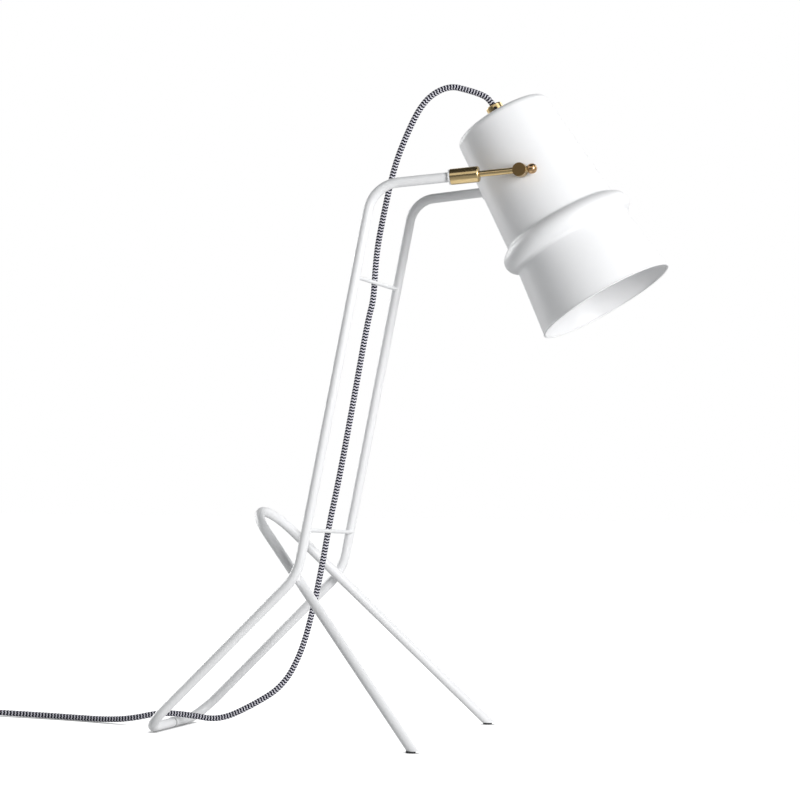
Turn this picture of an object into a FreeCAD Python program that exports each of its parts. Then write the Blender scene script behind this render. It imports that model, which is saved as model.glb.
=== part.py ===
"""Table lamp on a bent rod frame, with a tilting spun shade and a textile cord.

Millimetres, +Z up, +X towards the head, +Y away from the side that is seen first.
The origin is on the table, under the middle of the lamp.
"""
import FreeCAD, Part
import math
import os

Vector = FreeCAD.Vector
X, Y, Z = Vector(1, 0, 0), Vector(0, 1, 0), Vector(0, 0, 1)
os.makedirs("parts", exist_ok=True)

# Whole lamp
lamp_length = 526.8          # from the floor bar's back to the shade's front edge
pivot_height = 568.4         # of the axis that the shade tilts about
shade_tilt = 30.45           # degrees from upright, mouth forward

# Frame rods
rod_diameter = 10.0
frame_width = 150.0          # between the two uprights' centre lines
knee_height = 164.4
knee_from_back = 166.8       # of the lamp's length
top_bend_height = 555.6
arm_reach = 148.1            # from the top bend's corner to the pivot
knee_bend_radius = 60.0
near_top_bend_radius = 34.0
far_top_bend_radius = 29.0   # the far rod is bent a little tighter
floor_bend_radius = 28.0
seam_width = 2.4
seam_proud = 0.45

# Hairpin leg
foot_from_back = 311.0
foot_spread = 299.0          # between the two feet's centres
hairpin_slope = 47.55        # degrees from the table
hairpin_loop_radius = 44.0
hairpin_gap = 0.3            # between it and the uprights where they cross
knee_weld_radius = 3.4
foot_pad_thickness = 1.8
foot_pad_diameter = 9.6
foot_pad_inset = 3.3         # towards the back, from the leg's middle

# Cross wires, which don't lie quite level: their heights at the near and the far upright
wire_diameter = 3.9
upper_wire_near_height = 464.2
upper_wire_far_height = 462.2
lower_wire_near_height = 209.8
lower_wire_far_height = 205.0
lower_wire_forward = 2.5     # of the uprights' centre lines

# Arm ends
collar_diameter = 15.0
collar_length = 2.0
bush_diameter = 16.0
bush_length = 29.0
bush_from_pivot = 40.5
bush_edge = 2.2
arm_in_bush = 13.0
brass_rod_diameter = 6.2
brass_rod_in_bush = 14.0
ball_diameter = 10.4
ball_from_pivot = 12.0
ball_hole_depth = 3.0
fit_clearance = 0.05         # radial, between fixed pieces that slide together
pick_near = 0.5              # how near its place an edge is when it is picked

# Pivot hardware
barrel_diameter = 13.8
barrel_rod_in = 6.5          # from the barrel's inner face to the brass rod's line
barrel_beyond_rod = 4.5
barrel_edge = 0.3
stud_diameter = 4.0
stud_clearance = 0.08        # radial, where the shade turns on the stud
turning_gap = 0.3            # between pieces that turn against each other
saddle_diameter = 10.0
saddle_thickness = 0.9
spring_washer_diameter = 9.0
spring_washer_thickness = 1.2
pivot_nut_width = 7.0
pivot_nut_height = 3.2
stud_past_nut = 1.5

# Shade, measured down its own axis from the pivot
shade_top_above = 70.0
shade_mouth_below = 146.5
shade_top_radius = 50.5
shade_neck_radius = 60.8
shade_mouth_radius = 71.0
shade_wall = 1.0
shade_top_round = 7.0
bead_below = 66.3
bead_radius = 11.6
bead_proud = 9.9
bead_upper_blend = 3.0
bead_lower_blend = 4.5
rim_radius = 1.0

# Cord grip on top of the shade
grip_diameter = 17.6
grip_height = 15.6
grip_edge = 1.3
grip_thread_depth = 7.6
cord_clearance = 0.25
grip_screw_diameter = 4.0
grip_screw_below_top = 5.2
grip_screw_turn = 12.0       # degrees round from the near side
grip_screw_sunk = 1.2
grip_screw_slot = 0.7

# Threaded nipple and its nut
nipple_diameter = 10.0
nipple_bore_diameter = 7.2
nipple_length = 25.0
nipple_washer_diameter = 20.0
nipple_washer_thickness = 1.0
nipple_nut_width = 14.0
nipple_nut_height = 3.0

# Lampholder
holder_cap_radius = 19.5
holder_cap_height = 26.0
holder_cap_wall = 2.2
holder_shell_radius = 19.0
holder_shell_mouth_radius = 17.2
holder_shell_height = 31.0
holder_shell_wall = 2.2
holder_core_height = 8.0
holder_core_gap = 0.7
sleeve_radius = 13.7
sleeve_wall = 0.4
sleeve_height = 22.0
contact_strip_width = 4.0
contact_strip_thickness = 0.5
terminal_diameter = 3.0
terminal_length = 5.0
terminal_spread = 14.0

# Bulb
bulb_diameter = 60.0
bulb_glass_wall = 0.8
bulb_joint_diameter = 51.4   # where the housing meets the globe
bulb_housing_height = 34.0
bulb_cap_radius = 13.0
bulb_cap_height = 22.0
bulb_cap_wall = 0.5
bulb_contact_radius = 4.5
bulb_contact_height = 2.5

# Cord
cord_diameter = 6.4
cord_above_table = 0.1
bend_share = 0.45            # of the shorter run that an arc's tangent takes
cord_lead = 10.0             # its first straight run out of the grip

# Coil of the cord that is put away
coil_layer_half_turns = 2
coil_inner_radius = 34.0
coil_pitch = 8.2             # between turns in one layer
coil_layer_rise = 7.0
coil_centre_x = -652.0

# Inline switch
switch_centre = (-557.0, 44.0)
switch_length = 60.0
switch_width = 27.0
switch_height = 19.0
switch_wall = 2.0
switch_edge = 3.0
switch_core = 8.0            # solid ends that hold the cord and the screws
rocker_length = 22.0
rocker_width = 12.0
rocker_crown = 3.2
rocker_gap = 0.4             # at its sides
rocker_end_gap = 1.5
rocker_tilt = 8.0            # degrees each side of level
rocker_pin_diameter = 3.0
rocker_pin_reach = 1.5
rocker_depth = 6.0
switch_screw_diameter = 3.0
switch_screw_head_diameter = 5.4
switch_screw_head_height = 1.6
switch_screw_from_end = 5.0
switch_contact_thickness = 0.6
switch_contact_width = 5.0
switch_contact_length = 12.0

# Plug
plug_width = 35.0
plug_height = 13.7
plug_length = 34.0
plug_back_width = 16.0
plug_edge = 2.5
relief_length = 22.0
relief_tip_diameter = 8.4
relief_root_diameter = 11.0
pin_diameter = 4.0
pin_sleeve_diameter = 3.8
pin_length = 19.0
pin_spread = 18.6
pin_in_body = 8.0

# The cord's route by hand, from the grip to the coil. Each point keeps its own place.
upper_route = [
    (69.1, 0.5, 657.2), (54.8, 1, 661.7), (36.8, 1.5, 663.9), (18.3, 2, 657.2),
    (4.4, 3, 641.6), (-7.9, 4, 615.0), (-23.5, 7, 573.9), (-40.1, 14, 517.7),
    (-50.5, 19, 465.6),
]
upper_end_share = 0.44       # how far along the run to the lower route the upper cord ends
lower_route = [
    (-52.9, 19, 426.6), (-67.4, 18.5, 367.5), (-78.5, 18, 307.4), (-91.0, 17.5, 251.3),
    (-98.0, 17, 204.3), (-103.9, 15, 161.2), (-111.0, 13, 120.2), (-121.2, 11, 81.1),
    (-139.4, 9, 49.9), (-169.3, 6, 27.7), (-204.2, 3, 16.9), (-242.0, 1, 20.2),
    (-275.0, 1, 20.2), (-309.0, 6, 7.0), (-343.0, 17, 3.6), (-383.0, 28, 3.6),
    (-425.0, 38, 3.6), (-466.0, 44.5, 3.7), (-496.0, 44, 4.5), (-513.0, 44, 9.5),
]
switch_to_coil_route = [(-603.0, 44, 9.5), (-626.0, 44, 3.3)]
coil_to_plug_route = [(-631.0, 128.4, 10.3), (-618.0, 128.4, 6.85)]


def write(name, shape):
    """Export one node and say how many solids it holds."""
    shape.exportStep("parts/%s.step" % name)
    print("%-26s solids %d  volume %10.1f" % (name, len(shape.Solids), shape.Volume))


def unit(vector):
    """The vector at a length of one."""
    return Vector(vector) / Vector(vector).Length


def bent_wire(corners, radii):
    """Straight runs through the corners, joined by tangent arcs of the given radii."""
    edges = []
    start = corners[0]
    for before, corner, after, radius in zip(corners, corners[1:], corners[2:], radii):
        back, ahead = unit(before - corner), unit(after - corner)
        half_turn = (math.pi - back.getAngle(ahead)) / 2
        tangent = radius * math.tan(half_turn)
        reach = radius / math.cos(half_turn) - radius
        middle = corner + unit(back + ahead) * reach
        arc_start, arc_end = corner + back * tangent, corner + ahead * tangent
        edges.append(Part.LineSegment(start, arc_start).toShape())
        edges.append(Part.Arc(arc_start, middle, arc_end).toShape())
        start = arc_end
    edges.append(Part.LineSegment(start, corners[-1]).toShape())
    return Part.Wire(edges)


def tube(path, radius):
    """A round bar swept along a wire."""
    first = path.Edges[0]
    start = first.valueAt(first.FirstParameter)
    along = first.tangentAt(first.FirstParameter)
    circle = Part.Wire(Part.makeCircle(radius, start, along))
    return Part.Wire(path).makePipeShell([circle], True, True)


def rod(start, end, diameter):
    """A straight round bar between two points."""
    return Part.makeCylinder(diameter / 2, (end - start).Length, start, end - start)


def ring(start, end, outer, inner):
    """A straight tube between two points."""
    return rod(start, end, outer).cut(rod(start, end, inner))


def hexagon(centre, axis, width, height):
    """A hexagonal nut's outside, with its flats the given width apart."""
    turn = FreeCAD.Rotation(Z, axis)
    corner = width / math.sqrt(3)
    points = [
        centre + turn.multVec(Vector(corner * math.cos(a), corner * math.sin(a), 0))
        for a in [math.radians(60 * i) for i in range(7)]
    ]
    return Part.Face(Part.makePolygon(points)).extrude(unit(axis) * height)


def turned(points):
    """A body of revolution about Z from a closed outline of radius and height pairs."""
    outline = Part.makePolygon([Vector(r, 0, z) for r, z in points + points[:1]])
    return Part.Face(outline).revolve(Vector(), Z, 360)


def rounded(shape, size, picks):
    """Fillet the edges that the test picks."""
    return shape.makeFillet(size, [edge for edge in shape.Edges if picks(edge)])


def mirrored(shape):
    """The same piece on the far side."""
    return shape.mirror(Vector(), Y)


# The shade's own cones, and how wide it is at its pivots
upper_lean_share = (shade_neck_radius - shade_top_radius) / (shade_top_above + bead_below)
lower_lean_share = (shade_mouth_radius - shade_neck_radius) / (shade_mouth_below - bead_below)
bead_centre_radius = shade_neck_radius + bead_proud - bead_radius
wall_at_pivot = shade_top_radius + upper_lean_share * shade_top_above
saddle_face = wall_at_pivot + saddle_thickness
barrel_start = saddle_face + turning_gap
rod_side = barrel_start + barrel_rod_in

# Places that follow from the sizes above
rod_radius = rod_diameter / 2
cord_radius = cord_diameter / 2
back = -lamp_length / 2
tilt = math.radians(shade_tilt)
pivot_x = lamp_length / 2 - math.sin(tilt) * shade_mouth_below - math.cos(tilt) * (
    shade_mouth_radius + rim_radius / 2
)
pivot = Vector(pivot_x, 0, pivot_height)
frame_side = -frame_width / 2
floor_corner = Vector(back + rod_radius, frame_side, rod_radius)
knee = Vector(back + knee_from_back, frame_side, knee_height)
top_bend = Vector(pivot_x - arm_reach, frame_side, top_bend_height)
rod_at_pivot = Vector(pivot_x, -rod_side, pivot_height)
arm_along = unit(rod_at_pivot - top_bend)
arm_end = rod_at_pivot - arm_along * (bush_from_pivot + bush_length - arm_in_bush)


def frame_rod(top_bend_radius):
    """A bent rod on the near side: arm, upright, lower leg and half of the floor bar."""
    bar_end = Vector(floor_corner.x, -seam_width / 2, rod_radius)
    corners = [bar_end, floor_corner, knee, top_bend, arm_end]
    radii = [floor_bend_radius, knee_bend_radius, top_bend_radius]
    return tube(bent_wire(corners, radii), rod_radius)


def floor_bar_weld():
    """The seam where the two rods meet at the middle of the floor bar."""
    middle = Vector(floor_corner.x, 0, rod_radius)
    half = Y * (seam_width / 2)
    seam = rod(middle - half, middle + half, rod_diameter + 2 * seam_proud)
    below = Part.makeBox(rod_diameter * 2, seam_width, rod_diameter)
    below.translate(Vector(floor_corner.x - rod_diameter, -seam_width / 2, -rod_diameter))
    return seam.cut(below)


# The hairpin's legs pass inside the two frame rods, at their knees
slope = math.radians(hairpin_slope)
uphill = Vector(-math.cos(slope), 0, math.sin(slope))
foot_x = back + foot_from_back


def knee_crossing():
    """Where the hairpin's plane meets a rod's centre line, seen from the side."""
    side_points = [Vector(point.x, 0, point.z) for point in (floor_corner, knee, top_bend)]
    side_line = bent_wire(side_points, [knee_bend_radius])
    foot = Vector(foot_x, 0, 0)
    leg_line = Part.LineSegment(foot, foot + uphill * pivot_height).toShape()
    crossing = side_line.distToShape(leg_line)[1][0][0]
    arc = side_line.Edges[1]
    along = arc.tangentAt(arc.Curve.parameter(crossing))
    return crossing, along


crossing, rod_along = knee_crossing()
crossing_run = (crossing - Vector(foot_x, 0, 0)).Length


def hairpin_half_angle():
    """The angle of each hairpin leg that leaves the named gap at the crossing."""
    angle = math.atan((foot_spread - frame_width) / 2 / crossing_run)
    for _ in range(40):
        inside = frame_width / 2 - (rod_diameter + hairpin_gap) / math.cos(angle)
        angle = math.atan((foot_spread / 2 - inside) / crossing_run)
    return angle


half_angle = hairpin_half_angle()


def hairpin_path():
    """The hairpin's centre line from the near foot round the loop to the far foot."""
    foot = Vector(foot_x, -foot_spread / 2, 0)
    apex = Vector(foot_x, 0, 0) + uphill * (foot_spread / 2 / math.tan(half_angle))
    below = (foot - apex) * ((foot - apex).Length + 2 * rod_diameter) / (foot - apex).Length
    start = apex + below
    end = Vector(start.x, -start.y, start.z)
    return bent_wire([start, apex, end], [hairpin_loop_radius])


def slab(low, high):
    """Everything between two heights, wider than the lamp."""
    box = Part.makeBox(lamp_length * 2, lamp_length * 2, high - low)
    box.translate(Vector(-lamp_length, -lamp_length, low))
    return box


def hairpin_leg():
    """The bent rod with the two front feet and the round loop behind."""
    return tube(hairpin_path(), rod_radius).common(slab(foot_pad_thickness, pivot_height))


def foot_pad():
    """The dark pad under the near foot."""
    base = Vector(foot_x - foot_pad_inset, -foot_spread / 2, 0)
    return rod(base, base + Z * foot_pad_thickness, foot_pad_diameter)


def knee_weld(upright, hairpin):
    """The weld between the near rod and the hairpin where they cross."""
    hairpin_along = unit(uphill * math.cos(half_angle) + Y * math.sin(half_angle))
    across = unit(rod_along.cross(hairpin_along))
    if across.y < 0:
        across = -across
    centre = Vector(crossing.x, frame_side, crossing.z) + across * (
        (rod_diameter + hairpin_gap) / 2
    )
    lump = rod(centre - across * rod_radius, centre + across * rod_radius, 2 * knee_weld_radius)
    return lump.cut(upright).cut(hairpin)


def upright_x(height):
    """Where the uprights' centre lines are at a height."""
    share = (height - knee.z) / (top_bend.z - knee.z)
    return knee.x + (top_bend.x - knee.x) * share


def cross_wire(near_height, far_height, forward, rods):
    """A thin wire welded between the two uprights."""
    near = Vector(upright_x(near_height) + forward, frame_side, near_height)
    far = Vector(upright_x(far_height) + forward, -frame_side, far_height)
    wire = rod(near, far, wire_diameter)
    for upright in rods:
        wire = wire.cut(upright)
    return max(wire.Solids, key=lambda solid: solid.Volume)


def along_arm(distance):
    """A point on the arm's line, this far past the pivot towards the head."""
    return rod_at_pivot + arm_along * distance


def arm_collar():
    """The thin white collar behind the bush."""
    end = -bush_from_pivot - bush_length
    bore = rod_diameter + 2 * fit_clearance
    return ring(along_arm(end - collar_length), along_arm(end), collar_diameter, bore)


def arm_bush():
    """The brass bush that joins the painted arm and the brass rod."""
    left, right = -bush_from_pivot - bush_length, -bush_from_pivot
    bush = rod(along_arm(left), along_arm(right), bush_diameter)
    bush = rounded(bush, bush_edge, lambda e: e.CenterOfMass.distanceToPoint(
        along_arm(right)) < bush_edge)
    arm_hole = rod(along_arm(left), along_arm(left + arm_in_bush),
                   rod_diameter + 2 * fit_clearance)
    rod_hole = rod(along_arm(right - brass_rod_in_bush), along_arm(right),
                   brass_rod_diameter + 2 * fit_clearance)
    return bush.cut(arm_hole).cut(rod_hole)


def brass_rod():
    """The thin brass rod from the bush through the barrel into the ball."""
    start = -bush_from_pivot - brass_rod_in_bush
    end = ball_from_pivot - ball_diameter / 2 + ball_hole_depth
    return rod(along_arm(start), along_arm(end), brass_rod_diameter)


def rod_ball():
    """The ball on the brass rod's end."""
    ball = Part.makeSphere(ball_diameter / 2, along_arm(ball_from_pivot))
    hole_end = ball_from_pivot - ball_diameter / 2 + ball_hole_depth + fit_clearance
    hole = rod(along_arm(ball_from_pivot - ball_diameter), along_arm(hole_end),
               brass_rod_diameter + 2 * fit_clearance)
    return ball.cut(hole)


# The shade in its own upright place: the pivot is at the origin, the mouth is down
def wall_radius(below, lean_share, inset):
    """The shade's radius at a distance below the pivot, on its upper or lower cone."""
    slant_inset = inset * math.hypot(1, lean_share)
    return shade_neck_radius + lean_share * (below - bead_below) - slant_inset


def bead_meeting(lean_share, side, inset):
    """Where a cone meets the bead's round section, as a distance below the pivot."""
    radius = bead_radius - inset
    rise = wall_radius(bead_below, lean_share, inset) - bead_centre_radius
    a, b, c = 1 + lean_share ** 2, lean_share * rise, rise ** 2 - radius ** 2
    return bead_below + (-b + side * math.sqrt(b * b - a * c)) / a


def shade_line(inset):
    """The edges of one skin of the shade, from the top's centre to the mouth."""
    top = shade_top_above - inset
    corner = wall_radius(-top, upper_lean_share, inset)
    lean = math.atan(upper_lean_share)
    size = shade_top_round - inset
    tangent = size * math.tan((math.pi / 2 - lean) / 2)
    middle_turn = (math.pi / 2 + lean) / 2
    flat_end = Vector(corner - tangent, 0, top)
    round_centre = flat_end - Z * size
    round_middle = round_centre + Vector(
        size * math.cos(middle_turn), 0, size * math.sin(middle_turn)
    )
    round_end = round_centre + Vector(size * math.cos(lean), 0, size * math.sin(lean))
    start = bead_meeting(upper_lean_share, -1, inset)
    end = bead_meeting(lower_lean_share, 1, inset)
    bead_start = Vector(wall_radius(start, upper_lean_share, inset), 0, -start)
    bead_end = Vector(wall_radius(end, lower_lean_share, inset), 0, -end)
    bead_middle = Vector(bead_centre_radius + bead_radius - inset, 0, -bead_below)
    mouth = Vector(wall_radius(shade_mouth_below, lower_lean_share, inset), 0,
                   -shade_mouth_below)
    return [
        Part.LineSegment(Vector(0, 0, top), flat_end).toShape(),
        Part.Arc(flat_end, round_middle, round_end).toShape(),
        Part.LineSegment(round_end, bead_start).toShape(),
        Part.Arc(bead_start, bead_middle, bead_end).toShape(),
        Part.LineSegment(bead_end, mouth).toShape(),
    ]


def shade_solid_inside(inset):
    """The solid that one skin of the shade encloses."""
    edges = shade_line(inset)
    mouth = edges[-1].Vertexes[-1].Point
    axis_low = Vector(0, 0, mouth.z)
    edges.append(Part.LineSegment(mouth, axis_low).toShape())
    edges.append(Part.LineSegment(axis_low, edges[0].Vertexes[0].Point).toShape())
    return Part.Face(Part.Wire(edges)).revolve(Vector(), Z, 360)


def blended_skin(inset):
    """The solid inside one skin of the shade, with the bead's two corners blended."""
    skin = shade_solid_inside(inset)
    for lean_share, side, blend in ((upper_lean_share, -1, bead_upper_blend),
                                    (lower_lean_share, 1, bead_lower_blend)):
        corner = Z * -bead_meeting(lean_share, side, inset)
        skin = rounded(skin, blend + inset, lambda e: e.Closed and e.CenterOfMass.distanceToPoint(
            corner) < pick_near)
    return skin


def shade():
    """The spun shade with its bead, its fine rim and its holes."""
    shell = blended_skin(0).cut(blended_skin(shade_wall))
    rim_centre = wall_radius(shade_mouth_below, lower_lean_share, shade_wall / 2)
    shell = shell.fuse(Part.makeTorus(rim_centre, rim_radius, Vector(0, 0, -shade_mouth_below)))
    top_hole = rod(Z * (shade_top_above - 2 * shade_wall), Z * (shade_top_above + shade_wall),
                   nipple_diameter + 2 * fit_clearance)
    far = shade_top_radius + shade_neck_radius
    stud_hole = rod(-Y * far, Y * far, stud_diameter + 2 * stud_clearance)
    return shell.cut(top_hole).cut(stud_hole).removeSplitter()


# The near side's pivot hardware, in the shade's upright place
inner_wall = wall_radius(0, upper_lean_share, shade_wall)
inner_saddle_face = inner_wall - saddle_thickness


def outer_saddle():
    """The washer that fills the gap between the curved wall and the barrel."""
    disc = ring(-Y * (inner_wall - saddle_diameter), -Y * saddle_face, saddle_diameter,
                stud_diameter + 2 * stud_clearance)
    return max(disc.cut(shade_solid_inside(0)).Solids, key=lambda s: -s.CenterOfMass.y)


def inner_saddle():
    """The washer inside the curved wall."""
    disc = ring(-Y * inner_saddle_face, -Y * wall_at_pivot, saddle_diameter,
                stud_diameter + 2 * stud_clearance)
    return disc.common(shade_solid_inside(shade_wall))


def pivot_barrel():
    """The cross-drilled barrel with the stud that the shade turns on."""
    end = rod_side + barrel_beyond_rod
    barrel = rod(-Y * barrel_start, -Y * end, barrel_diameter)
    barrel = rounded(barrel, barrel_edge,
                     lambda e: e.CenterOfMass.distanceToPoint(-Y * end) < barrel_edge)
    nut_end = inner_saddle_face - turning_gap - spring_washer_thickness - pivot_nut_height
    stud = rod(-Y * (nut_end - stud_past_nut), -Y * barrel_start, stud_diameter)
    hole_half = arm_along * barrel_diameter
    across = Vector(0, -rod_side, 0)
    hole = rod(across - hole_half, across + hole_half, brass_rod_diameter + 2 * fit_clearance)
    return barrel.fuse(stud).cut(hole)


def pivot_spring_washer():
    """The spring washer under the pivot nut."""
    face = inner_saddle_face - turning_gap
    return ring(-Y * face, -Y * (face - spring_washer_thickness), spring_washer_diameter,
                stud_diameter + 2 * fit_clearance)


def pivot_nut():
    """The lock nut inside the shade."""
    face = inner_saddle_face - turning_gap - spring_washer_thickness
    nut = hexagon(-Y * face, Y, pivot_nut_width, pivot_nut_height)
    return nut.cut(rod(-Y * face, -Y * (face - pivot_nut_height), stud_diameter))


# The grip, nipple, lampholder and bulb on the shade's axis
grip_top = shade_top_above + grip_height
nipple_top = shade_top_above + grip_thread_depth
under_top = shade_top_above - shade_wall
washer_bottom = under_top - nipple_washer_thickness
nut_bottom = washer_bottom - nipple_nut_height
nipple_bottom = nipple_top - nipple_length
cap_top = nut_bottom
cap_bottom = cap_top - holder_cap_height
shell_bottom = cap_bottom - holder_shell_height
cord_hole = cord_diameter + 2 * cord_clearance


def grip_screw_axis():
    """The side that the grip's set screw faces."""
    turn = math.radians(grip_screw_turn)
    return Vector(math.sin(turn), -math.cos(turn), 0)


def cord_grip():
    """The brass cord grip, screwed on the nipple."""
    grip = rod(Z * shade_top_above, Z * grip_top, grip_diameter)
    grip = rounded(grip, grip_edge,
                   lambda e: e.CenterOfMass.distanceToPoint(Z * grip_top) < grip_edge)
    grip = grip.cut(rod(Z * shade_top_above, Z * grip_top, cord_hole))
    grip = grip.cut(rod(Z * shade_top_above, Z * nipple_top, nipple_diameter))
    height = Z * (grip_top - grip_screw_below_top)
    return grip.cut(rod(height, height + grip_screw_axis() * grip_diameter,
                        grip_screw_diameter))


def grip_screw():
    """The slotted set screw that holds the cord."""
    height = Z * (grip_top - grip_screw_below_top)
    tip = height + grip_screw_axis() * (cord_radius + cord_clearance / 2)
    head = height + grip_screw_axis() * (grip_diameter / 2 - grip_screw_sunk)
    slot = Part.makeBox(grip_screw_slot, grip_screw_diameter * 2, grip_screw_diameter)
    slot.translate(Vector(-grip_screw_slot / 2, -grip_screw_diameter, -grip_screw_slot))
    slot.Placement = FreeCAD.Placement(head, FreeCAD.Rotation(Z, grip_screw_axis())).multiply(
        slot.Placement)
    return rod(tip, head, grip_screw_diameter).cut(slot)


def threaded_nipple():
    """The threaded tube through the top of the shade."""
    return ring(Z * nipple_bottom, Z * nipple_top, nipple_diameter, nipple_bore_diameter)


def nipple_washer():
    """The flat washer inside the top of the shade."""
    return ring(Z * washer_bottom, Z * under_top, nipple_washer_diameter,
                nipple_diameter + 2 * fit_clearance)


def nipple_nut():
    """The nut that clamps the shade to the nipple."""
    nut = hexagon(Z * nut_bottom, Z, nipple_nut_width, nipple_nut_height)
    return nut.cut(rod(Z * nut_bottom, Z * washer_bottom, nipple_diameter))


def cord_inside():
    """The cord's end inside the grip, the nipple and the lampholder's cap."""
    return rod(Z * (nipple_bottom - cord_radius), Z * grip_top, cord_diameter)


def lampholder_cap():
    """The upper shell of the lampholder, screwed on the nipple."""
    shoulder = cap_top - holder_cap_wall
    low = cap_bottom
    outer = turned([(0, low), (holder_cap_radius, low),
                    (holder_cap_radius, low + holder_cap_height / 2),
                    (nipple_diameter, shoulder), (nipple_diameter, cap_top), (0, cap_top)])
    room = holder_cap_radius - holder_cap_wall
    inner = turned([(0, low), (room, low), (room, low + holder_cap_height / 2),
                    (nipple_diameter - holder_cap_wall, shoulder - holder_cap_wall),
                    (0, shoulder - holder_cap_wall)])
    return outer.cut(inner).cut(rod(Z * low, Z * cap_top, nipple_diameter))


def lampholder_shell():
    """The lower shell of the lampholder, round the bulb's cap."""
    outer = turned([(0, shell_bottom), (holder_shell_mouth_radius, shell_bottom),
                    (holder_shell_radius, cap_bottom), (0, cap_bottom)])
    room = holder_shell_wall
    inner = turned([(0, shell_bottom), (holder_shell_mouth_radius - room, shell_bottom),
                    (holder_shell_radius - room, cap_bottom), (0, cap_bottom)])
    return outer.cut(inner)


def lampholder_core():
    """The porcelain disc that carries the contacts."""
    radius = holder_shell_radius - holder_shell_wall - holder_core_gap
    core = rod(Z * (cap_bottom - holder_core_height), Z * cap_bottom, 2 * radius)
    for side in (-1, 1):
        centre = X * (side * terminal_spread / 2)
        core = core.cut(rod(centre + Z * (cap_bottom - holder_core_height),
                            centre + Z * cap_bottom, terminal_diameter))
    return core


def lampholder_terminals():
    """The two terminal screws on the core."""
    pieces = []
    for side in (-1, 1):
        centre = X * (side * terminal_spread / 2)
        low = centre + Z * (cap_bottom - holder_core_height)
        pieces.append(rod(low, centre + Z * (cap_bottom + terminal_length), terminal_diameter))
    return Part.makeCompound(pieces)


def lampholder_sleeve():
    """The brass screw sleeve that the bulb screws into."""
    top = cap_bottom - holder_core_height
    return ring(Z * (top - sleeve_height), Z * top, 2 * sleeve_radius,
                2 * (sleeve_radius - sleeve_wall))


def lampholder_contact():
    """The springy strip that meets the bulb's tip."""
    top = cap_bottom - holder_core_height
    strip = Part.makeBox(bulb_cap_radius, contact_strip_width, contact_strip_thickness)
    strip.translate(Vector(-bulb_cap_radius / 2, -contact_strip_width / 2,
                           top - contact_strip_thickness))
    return strip


bulb_tip = cap_bottom - holder_core_height - contact_strip_thickness
bulb_cap_top = bulb_tip - bulb_contact_height
bulb_cap_bottom = bulb_cap_top - bulb_cap_height
housing_bottom = bulb_cap_bottom - bulb_housing_height
bulb_radius = bulb_diameter / 2


def bulb_contact():
    """The tip of the bulb's cap with its black insulator."""
    return rod(Z * bulb_cap_top, Z * bulb_tip, 2 * bulb_contact_radius)


def bulb_cap():
    """The bulb's metal screw cap."""
    outer = rod(Z * bulb_cap_bottom, Z * bulb_cap_top, 2 * bulb_cap_radius)
    room = rod(Z * bulb_cap_bottom, Z * (bulb_cap_top - bulb_cap_wall),
               2 * (bulb_cap_radius - bulb_cap_wall))
    return outer.cut(room)


def bulb_housing():
    """The white housing between the bulb's cap and its globe."""
    outline = [(0, housing_bottom), (bulb_joint_diameter / 2, housing_bottom),
               (bulb_cap_radius, bulb_cap_bottom), (0, bulb_cap_bottom)]
    return turned(outline)


def bulb_globe():
    """The opal globe."""
    below = math.sqrt(bulb_radius ** 2 - (bulb_joint_diameter / 2) ** 2)
    centre = Z * (housing_bottom - below)
    globe = Part.makeSphere(bulb_radius, centre)
    globe = globe.cut(Part.makeSphere(bulb_radius - bulb_glass_wall, centre))
    above = Part.makeCylinder(bulb_diameter, bulb_diameter, Z * housing_bottom)
    return globe.cut(above)


def in_shade_place(shape, tilted=True):
    """Move a piece from the shade's upright place to the pivot, tilted or not."""
    turn = FreeCAD.Rotation(Y, -shade_tilt if tilted else 0)
    placed = shape.copy()
    placed.Placement = FreeCAD.Placement(pivot, turn).multiply(placed.Placement)
    return placed


def shade_point(below):
    """A point on the tilted shade's axis."""
    return pivot + Vector(math.sin(tilt), 0, -math.cos(tilt)) * below


# Cord
def cord_wire(points):
    """The cord's centre line: straight runs and the widest arcs that they allow."""
    radii = []
    for before, corner, after in zip(points, points[1:], points[2:]):
        turn = math.pi - (before - corner).getAngle(after - corner)
        shorter = min((before - corner).Length, (after - corner).Length)
        radii.append(bend_share * shorter / math.tan(turn / 2))
    if radii:
        print("  cord radii", " ".join("%.0f" % radius for radius in radii))
    return bent_wire(points, radii)


def cord(points):
    """A stretch of cord, with its volume checked against its length."""
    path = cord_wire([Vector(*point) for point in points])
    shape = tube(path, cord_radius)
    section = math.pi * cord_radius ** 2
    print("  cord length %.1f  volume share %.5f" % (
        path.Length, shape.Volume / (section * path.Length)))
    return shape


grip_exit = shade_point(-grip_top)
grip_lead = shade_point(-grip_top - cord_lead)
run_start, run_end = Vector(*upper_route[-1]), Vector(*lower_route[0])
upper_end = run_start + (run_end - run_start) * upper_end_share
switch_axis_height = switch_height / 2


def cord_upper():
    """From the grip to the back of the upper cross wire; it bends as the shade tilts."""
    return cord([grip_exit, grip_lead] + upper_route + [upper_end])


def cord_lower():
    """Down between the rods, over the floor bar and along the table to the switch."""
    end = (switch_centre[0] + switch_length / 2, switch_centre[1], switch_axis_height)
    return cord([upper_end] + lower_route + [end])


def coil_points():
    """The coil's half-turn points, with the direction that the cord has at each."""
    layer = range(coil_layer_half_turns + 1)
    step = coil_pitch / 2
    inwards = [coil_inner_radius + step * (coil_layer_half_turns - i) for i in layer]
    radii = inwards + inwards[::-1]
    centre_y = switch_centre[1] + radii[0]
    points = []
    for i, radius in enumerate(radii):
        side = -1 if i % 2 == 0 else 1
        rise = coil_layer_rise if i > coil_layer_half_turns else 0
        height = cord_radius + cord_above_table + rise
        points.append((Vector(coil_centre_x, centre_y + side * radius, height), X * side))
    return points


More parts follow.
